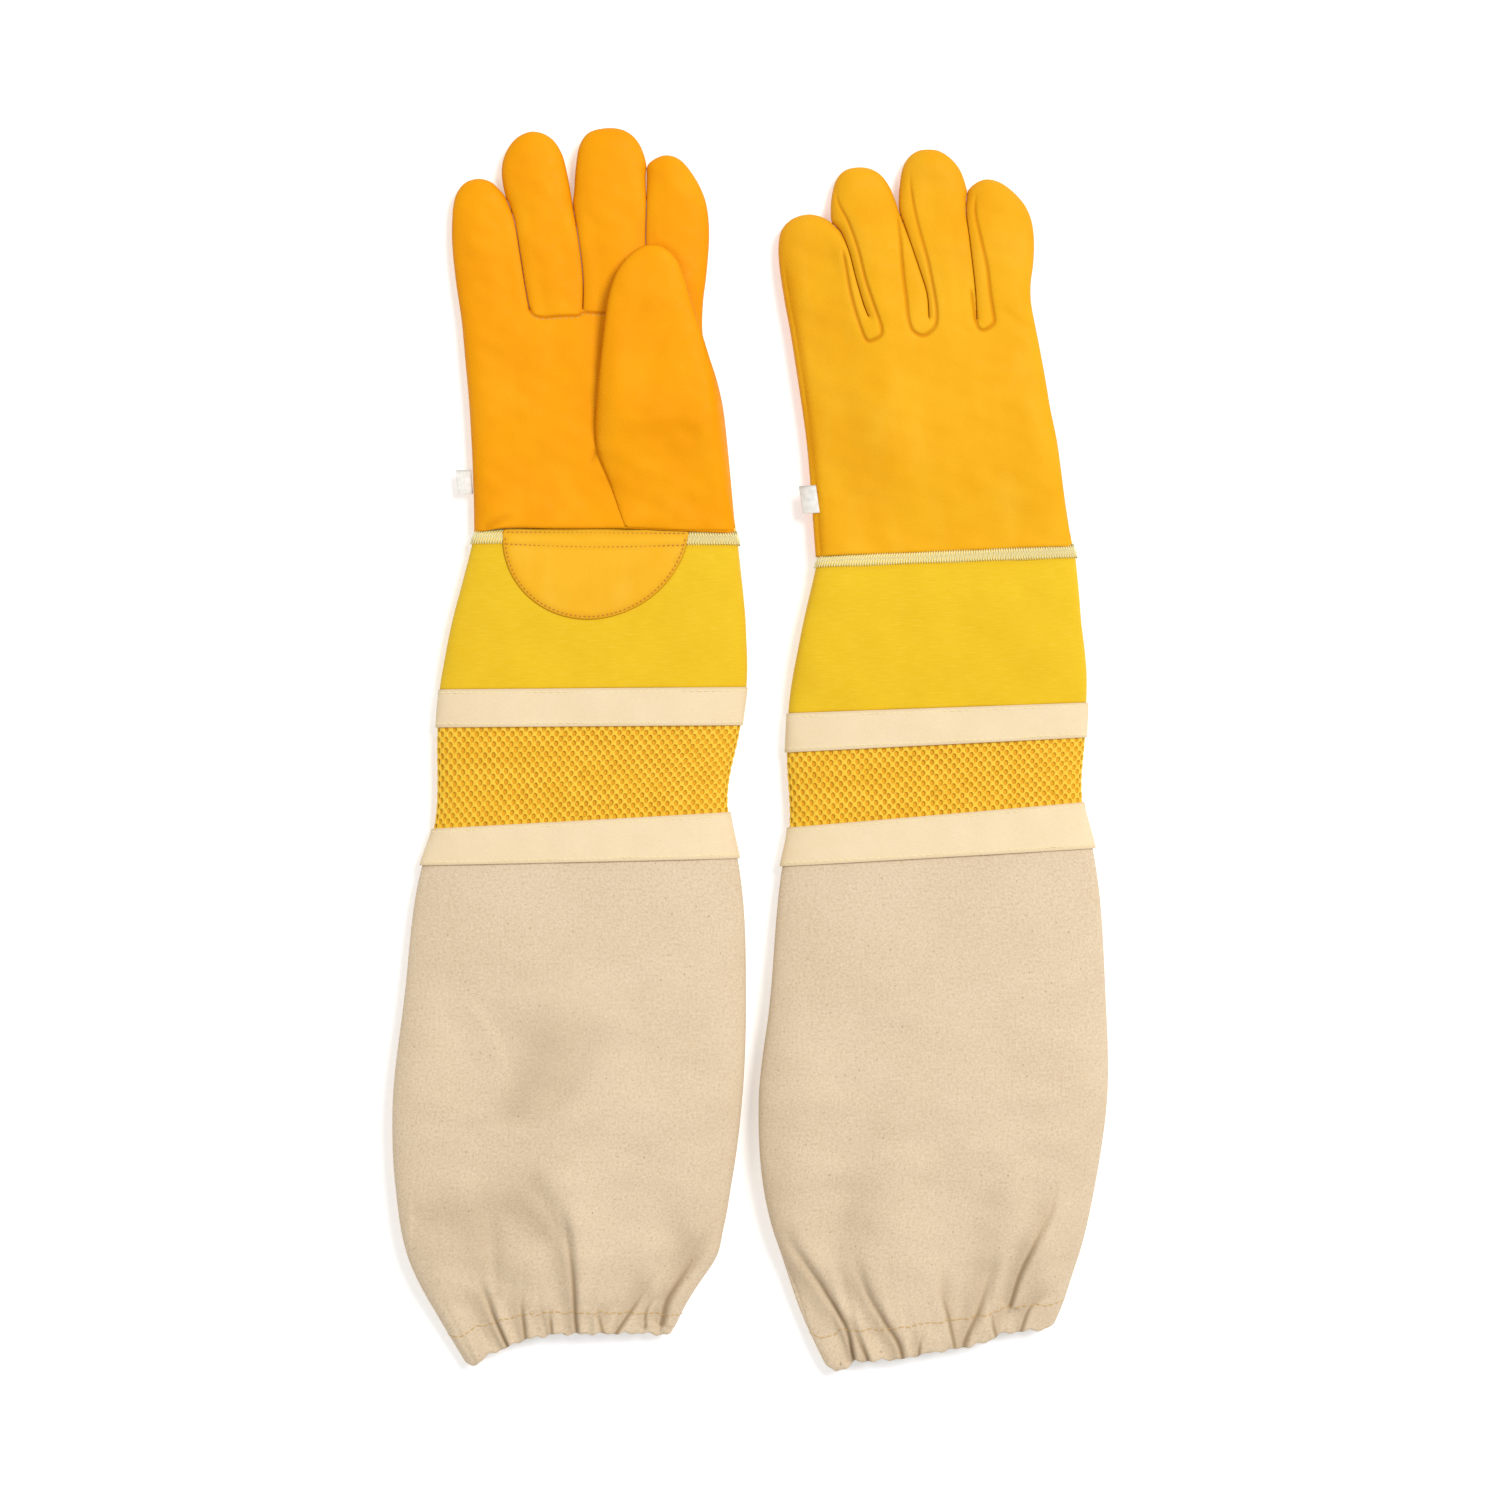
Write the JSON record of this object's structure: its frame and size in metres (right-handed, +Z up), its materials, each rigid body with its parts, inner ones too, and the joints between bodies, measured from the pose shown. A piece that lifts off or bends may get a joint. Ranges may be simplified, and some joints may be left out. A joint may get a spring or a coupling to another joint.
{
  "type": "beekeeping gloves",
  "caption": "Pair of long leather gloves with cotton cuffs, ventilated mesh bands and canvas gauntlets gathered by an elastic hem, lying flat.",
  "frame": {"origin": "centre of the pair's footprint, on the surface it lies on", "axes": "+X from the right glove to the left glove, +Y from the hems to the fingertips, +Z up out of the surface"},
  "size_m": [0.3014, 0.5216, 0.0225],
  "materials": {
    "palm_leather": "smooth grain goatskin, orange-yellow",
    "back_leather": "smooth grain goatskin, a little lighter",
    "patch_leather": "smooth grain goatskin",
    "yellow_cotton": "brushed plain-weave cotton",
    "cream_tape": "woven twill tape",
    "yellow_mesh": "knitted spacer mesh with oval holes",
    "natural_canvas": "undyed speckled canvas",
    "overlock_thread": "cream overlock stitching",
    "elastic": "knitted elastic",
    "label_cloth": "white woven label"
  },
  "bodies": {
    "right_gauntlet": {"right_lower_tape": "cream_tape", "right_canvas_sleeve": "natural_canvas", "right_hem_casing": "natural_canvas", "right_hem_elastic": "elastic"},
    "right_hand": {"right_palm_panel": "palm_leather", "right_centre_front_panel": "palm_leather", "right_back_panel": "back_leather", "right_little_ring_fourchette": "back_leather", "right_ring_middle_fourchette": "back_leather", "right_middle_index_fourchette": "back_leather", "right_thumb_base": "palm_leather", "right_size_tag": "label_cloth", "right_wrist_binding": "overlock_thread", "right_wrist_patch": "patch_leather", "right_cotton_cuff": "yellow_cotton", "right_upper_tape": "cream_tape", "right_mesh_band": "yellow_mesh"},
    "right_little_fingertip": {"right_little_fingertip_front": "palm_leather", "right_little_fingertip_back": "back_leather"},
    "right_ring_fingertip": {"right_ring_fingertip_front": "palm_leather", "right_ring_fingertip_back": "back_leather"},
    "right_middle_fingertip": {"right_middle_fingertip_front": "palm_leather", "right_middle_fingertip_back": "back_leather"},
    "right_index_fingertip": {"right_index_fingertip_front": "palm_leather", "right_index_fingertip_back": "back_leather"},
    "right_thumb": {"right_thumb_front": "palm_leather", "right_thumb_back": "palm_leather"},
    "left_gauntlet": {"left_lower_tape": "cream_tape", "left_canvas_sleeve": "natural_canvas", "left_hem_casing": "natural_canvas", "left_hem_elastic": "elastic"},
    "left_hand": {"left_palm_panel": "palm_leather", "left_centre_front_panel": "palm_leather", "left_back_panel": "back_leather", "left_little_ring_fourchette": "back_leather", "left_ring_middle_fourchette": "back_leather", "left_middle_index_fourchette": "back_leather", "left_thumb_base": "palm_leather", "left_size_tag": "label_cloth", "left_wrist_binding": "overlock_thread", "left_wrist_patch": "patch_leather", "left_cotton_cuff": "yellow_cotton", "left_upper_tape": "cream_tape", "left_mesh_band": "yellow_mesh"},
    "left_little_fingertip": {"left_little_fingertip_front": "palm_leather", "left_little_fingertip_back": "back_leather"},
    "left_ring_fingertip": {"left_ring_fingertip_front": "palm_leather", "left_ring_fingertip_back": "back_leather"},
    "left_middle_fingertip": {"left_middle_fingertip_front": "palm_leather", "left_middle_fingertip_back": "back_leather"},
    "left_index_fingertip": {"left_index_fingertip_front": "palm_leather", "left_index_fingertip_back": "back_leather"},
    "left_thumb": {"left_thumb_front": "palm_leather", "left_thumb_back": "palm_leather"}
  },
  "joints": [
    {"name": "pair_left_lift", "type": "slide", "parent": "right_gauntlet", "child": "left_gauntlet", "axis": [0, 0, 1], "range_m": [0, 0.15]},
    {"name": "cuff_fold_left", "type": "hinge", "parent": "left_gauntlet", "child": "left_hand", "pos_m": [0.0783, -0.0287, 0.014], "axis": [0.9964, 0.0853, 0], "range_deg": [0, 90]},
    {"name": "little_bend_left", "type": "hinge", "parent": "left_hand", "child": "left_little_fingertip", "pos_m": [0.02312, 0.20548, 0.01416], "axis": [0.9812, 0.0373, 0.1893], "range_deg": [0, 60]},
    {"name": "ring_bend_left", "type": "hinge", "parent": "left_hand", "child": "left_ring_fingertip", "pos_m": [0.05052, 0.20652, 0.01943], "axis": [0.991, 0.0376, 0.1286], "range_deg": [0, 60]},
    {"name": "middle_bend_left", "type": "hinge", "parent": "left_hand", "child": "left_middle_fingertip", "pos_m": [0.07835, 0.20758, 0.0202], "axis": [0.9993, 0.038, 0], "range_deg": [0, 60]},
    {"name": "index_bend_left", "type": "hinge", "parent": "left_hand", "child": "left_index_fingertip", "pos_m": [0.10683, 0.20866, 0.0202], "axis": [0.9993, 0.038, 0], "range_deg": [0, 60]},
    {"name": "cuff_fold_right", "type": "hinge", "parent": "right_gauntlet", "child": "right_hand", "pos_m": [-0.0706, -0.03125, 0.014], "axis": [0.9987, 0.0512, 0], "range_deg": [0, 90]},
    {"name": "little_curl_right", "type": "hinge", "parent": "right_hand", "child": "right_little_fingertip", "pos_m": [-0.11288, 0.21556, 0.0105], "axis": [0.9999, 0.0154, 0], "range_deg": [0, 85]},
    {"name": "ring_curl_right", "type": "hinge", "parent": "right_hand", "child": "right_ring_fingertip", "pos_m": [-0.08546, 0.21598, 0.0105], "axis": [0.9999, 0.0154, 0], "range_deg": [0, 85]},
    {"name": "middle_curl_right", "type": "hinge", "parent": "right_hand", "child": "right_middle_fingertip", "pos_m": [-0.05762, 0.21641, 0.0105], "axis": [0.9999, 0.0154, 0], "range_deg": [0, 85]},
    {"name": "index_curl_right", "type": "hinge", "parent": "right_hand", "child": "right_index_fingertip", "pos_m": [-0.02912, 0.21685, 0.0105], "axis": [0.9999, 0.0154, 0], "range_deg": [0, 85]},
    {"name": "thumb_open_left", "type": "hinge", "parent": "left_hand", "child": "left_thumb", "pos_m": [0.12226, 0.15951, 0.004], "axis": [0, 0, -1], "range_deg": [0, 45]},
    {"name": "thumb_open_right", "type": "hinge", "parent": "right_hand", "child": "right_thumb", "pos_m": [-0.03922, 0.15019, 0.0206], "axis": [0.7974, 0.6034, 0], "range_deg": [0, 70]}
  ]
}
